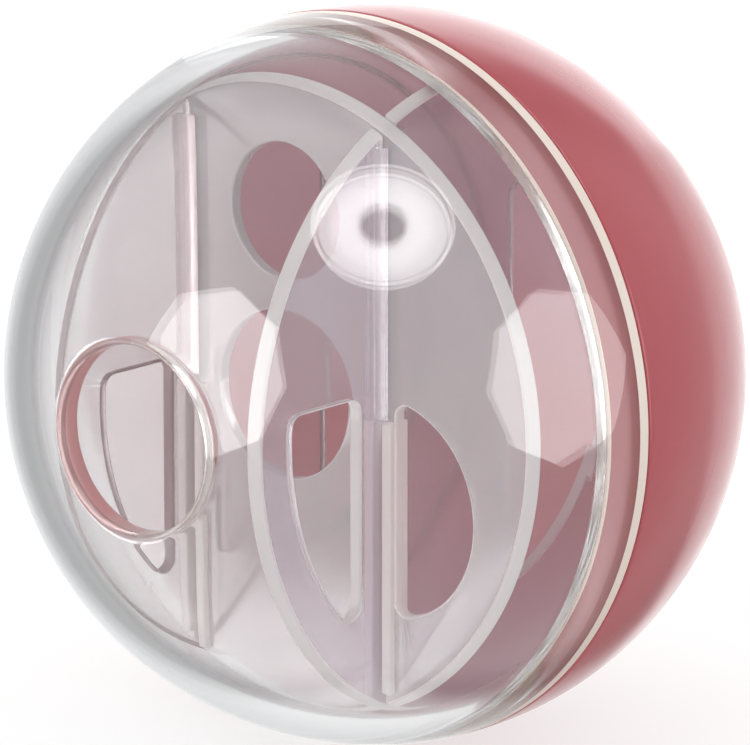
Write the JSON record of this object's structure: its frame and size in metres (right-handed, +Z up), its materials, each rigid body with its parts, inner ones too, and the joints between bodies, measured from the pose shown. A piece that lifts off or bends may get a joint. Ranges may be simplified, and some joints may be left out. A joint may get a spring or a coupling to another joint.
{
  "type": "treat dispensing ball",
  "caption": "Hollow ball that drops treats through a round exit hole, with a twist-off clear half and a maze of crossed, windowed plates inside.",
  "frame": {"origin": "centre of the closed ball", "axes": "-Y along the ball's axis, out through the exit hole; +Z up, along the lines where the maze plates cross; +X towards the side of the maze that has the half-moon window"},
  "size_m": [0.076, 0.0745, 0.076],
  "materials": {
    "red_plastic": "translucent red, polished",
    "clear_plastic": "water clear, polished",
    "milky_plastic": "milky clear, satin"
  },
  "bodies": {
    "red_half": {"red_shell": "red_plastic"},
    "maze": {"front_plate": "milky_plastic", "right_wall": "milky_plastic", "left_wall": "milky_plastic"},
    "clear_half": {"clear_shell": "clear_plastic"}
  },
  "joints": [
    {"name": "clear_half_twist", "type": "hinge", "parent": "red_half", "child": "maze", "pos_m": [0, 0, 0], "axis": [0, -1, 0], "range_deg": [0, 25]},
    {"name": "clear_half_pull", "type": "slide", "parent": "maze", "child": "clear_half", "axis": [0, -1, 0], "range_m": [0, 0.045]}
  ]
}
